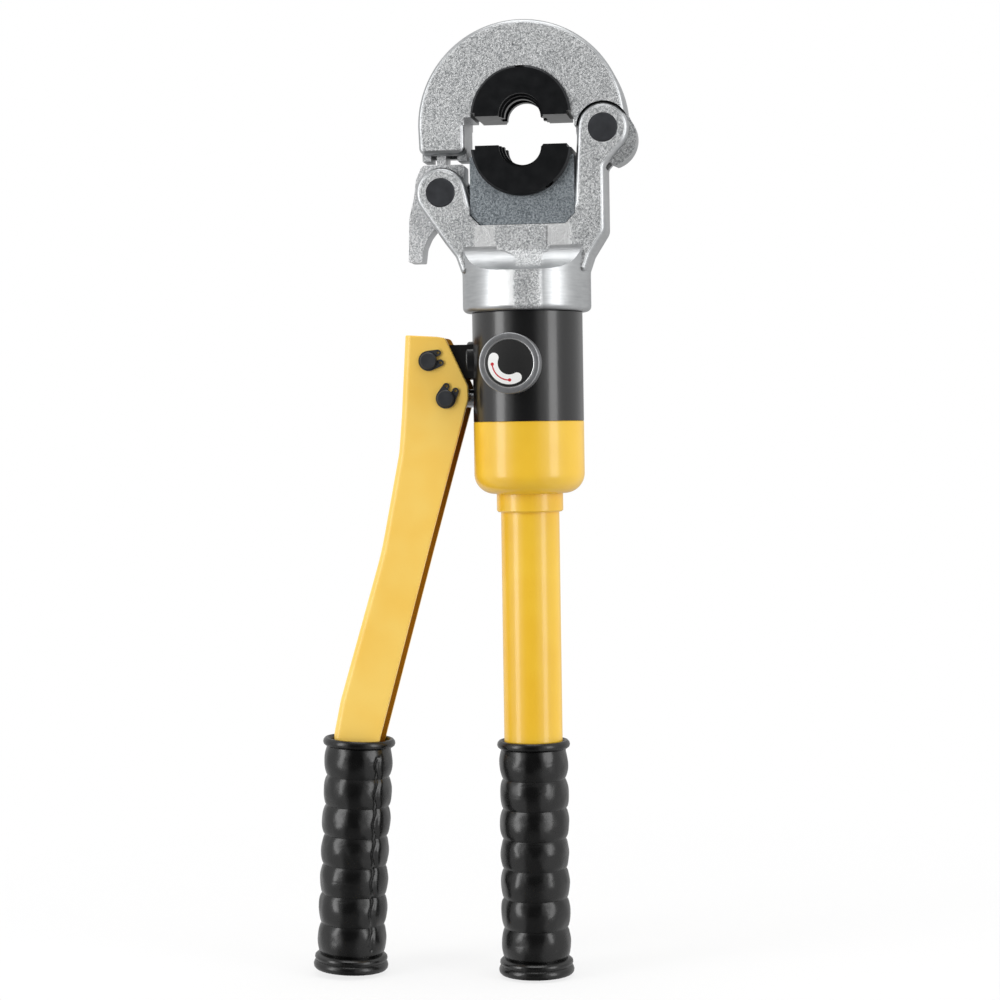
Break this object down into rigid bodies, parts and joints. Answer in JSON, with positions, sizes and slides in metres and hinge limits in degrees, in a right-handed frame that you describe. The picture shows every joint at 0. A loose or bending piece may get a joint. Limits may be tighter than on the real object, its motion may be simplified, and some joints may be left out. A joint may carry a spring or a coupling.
{
  "type": "manual hydraulic pipe press",
  "caption": "Hand-pumped hydraulic pipe-fitting press with a swivelling flip-open head, two round half dies, a pump lever, a release knob and ringed rubber grips.",
  "frame": {"origin": "centre of the flat bottom face of the fixed grip", "axes": "+Z along the tool's axis towards the head, -Y to the front with the release knob, +X to the side of the head's hinge"},
  "size_m": [0.1862, 0.0782, 0.5213],
  "materials": {
    "zinc_forging": "zinc-plated rough forging with bright rounded edges",
    "zinc_block": "zinc-plated, grey-blue, fine grain",
    "black_paint": "satin gloss black",
    "yellow_paint": "gloss yellow",
    "black_rubber": "glossy black rubber",
    "black_oxide": "black oxide",
    "knob_finish": "dark anodised, satin",
    "label_film": "matt black film with a white arc",
    "bright_steel": "ground steel",
    "dark_screws": "black oxide",
    "spring_steel": "drawn wire",
    "seal_rubber": "matt black nitrile",
    "seal_plastic": "white PTFE",
    "filter_brass": "sintered brass"
  },
  "bodies": {
    "body": {"fixed_grip": "black_rubber", "handle_tube": "yellow_paint", "tube_end_plug": "bright_steel", "handle_socket": "yellow_paint", "oil_bladder": "seal_rubber", "cylinder_body": "black_paint", "body_seal": "seal_rubber", "pump_lug": "black_paint", "pump_gland": "bright_steel", "plunger_seal": "seal_rubber", "inlet_check_ball": "bright_steel", "inlet_check_spring": "spring_steel", "outlet_check_ball": "bright_steel", "outlet_check_spring": "spring_steel", "relief_ball": "bright_steel", "relief_spring": "spring_steel", "relief_screw": "dark_screws", "release_ball": "bright_steel", "suction_filter": "filter_brass"},
    "head": {"head_base": "zinc_forging", "hinge_pin": "black_oxide", "latch_pin": "black_oxide", "swivel_ring": "bright_steel", "swivel_screw": "dark_screws", "ram_return_spring": "spring_steel", "latch_spring": "spring_steel"},
    "jaw": {"upper_jaw": "zinc_forging", "upper_detent_ball": "bright_steel", "upper_detent_spring": "spring_steel"},
    "top_die": {"upper_die": "black_oxide"},
    "latch": {"latch_lever": "zinc_forging"},
    "ram": {"ram_block": "zinc_block", "ram_bolt": "bright_steel", "piston": "bright_steel", "piston_seal": "seal_rubber", "piston_backup_ring": "seal_plastic", "lower_detent_ball": "bright_steel", "lower_detent_spring": "spring_steel"},
    "bottom_die": {"lower_die": "black_oxide"},
    "lever": {"pump_lever": "yellow_paint", "pump_grip": "black_rubber", "lever_pivot_pin": "black_oxide", "lever_pivot_clips": "black_oxide", "plunger_pin": "black_oxide", "plunger_pin_clips": "black_oxide", "plunger_pin_spacers": "bright_steel"},
    "plunger": {"pump_plunger": "bright_steel"},
    "knob": {"release_knob": "knob_finish", "knob_label": "label_film", "valve_stem": "bright_steel", "stem_seal": "seal_rubber", "knob_set_screw": "dark_screws"}
  },
  "joints": [
    {"name": "head_swivel", "type": "hinge", "parent": "body", "child": "head", "pos_m": [0, 0, 0.375], "axis": [0, 0, 1], "continuous": true},
    {"name": "jaw_hinge", "type": "hinge", "parent": "head", "child": "jaw", "pos_m": [0.0443, 0, 0.4603], "axis": [0, 1, 0], "range_deg": [0, 65]},
    {"name": "latch_pivot", "type": "hinge", "parent": "head", "child": "latch", "pos_m": [-0.0446, 0, 0.4274], "axis": [0, 1, 0], "range_deg": [-5, 9], "stiffness_Nm_per_rad": 0.3},
    {"name": "ram_slide", "type": "slide", "parent": "head", "child": "ram", "axis": [0, 0, 1], "range_m": [0, 0.0155], "stiffness_N_per_m": 4000, "springref_m": -0.01, "deforming": ["ram_return_spring"]},
    {"name": "top_die_slide", "type": "slide", "parent": "jaw", "child": "top_die", "axis": [0, -1, 0], "range_m": [0, 0.045]},
    {"name": "bottom_die_slide", "type": "slide", "parent": "ram", "child": "bottom_die", "axis": [0, -1, 0], "range_m": [0, 0.045]},
    {"name": "pump_lever_pivot", "type": "hinge", "parent": "body", "child": "lever", "pos_m": [-0.0533, 0, 0.3362], "axis": [0, 1, 0], "range_deg": [-8.5, 30]},
    {"name": "plunger_slide", "type": "slide", "parent": "body", "child": "plunger", "axis": [1, 0, 0], "range_m": [-0.0112, 0.0032]},
    {"name": "release_knob_turn", "type": "hinge", "parent": "body", "child": "knob", "pos_m": [-0.005, 0, 0.3334], "axis": [0, -1, 0], "range_deg": [0, 110]}
  ],
  "couplings": [
    {"joint": "plunger_slide", "follows": "pump_lever_pivot", "m_per_rad": -0.0213}
  ]
}
